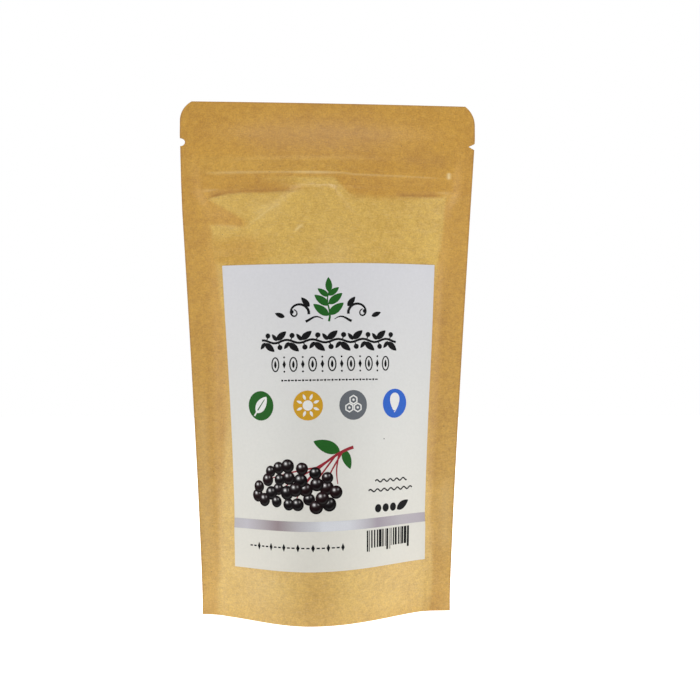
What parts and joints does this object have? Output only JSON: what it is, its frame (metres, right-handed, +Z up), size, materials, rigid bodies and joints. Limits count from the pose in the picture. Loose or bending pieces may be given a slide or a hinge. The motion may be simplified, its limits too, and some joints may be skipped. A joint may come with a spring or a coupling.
{
  "type": "kraft stand-up pouch with a paper label",
  "caption": "Filled kraft-paper stand-up pouch with a press-to-close zip, folded bottom gusset, tear notches and a printed front label.",
  "frame": {"origin": "on the table, midway between the pouch's sides and midway between the front and the back of its opened base", "axes": "+Z up towards the top seal, +X to the right as the label is read, -Y towards the reader"},
  "size_m": [0.13, 0.0526, 0.22],
  "materials": {
    "kraft_laminate": "satin",
    "kraft_gusset": "satin",
    "zip_plastic": "satin",
    "label_paper": "satin",
    "dried_berry_skin": "matte"
  },
  "bodies": {
    "root": {"front_panel": "kraft_laminate", "back_panel": "kraft_laminate", "bottom_gusset": "kraft_gusset", "zip_rib_strip": "zip_plastic", "zip_groove_strip": "zip_plastic", "front_label": "label_paper", "dried_berries": "dried_berry_skin"}
  },
  "joints": []
}
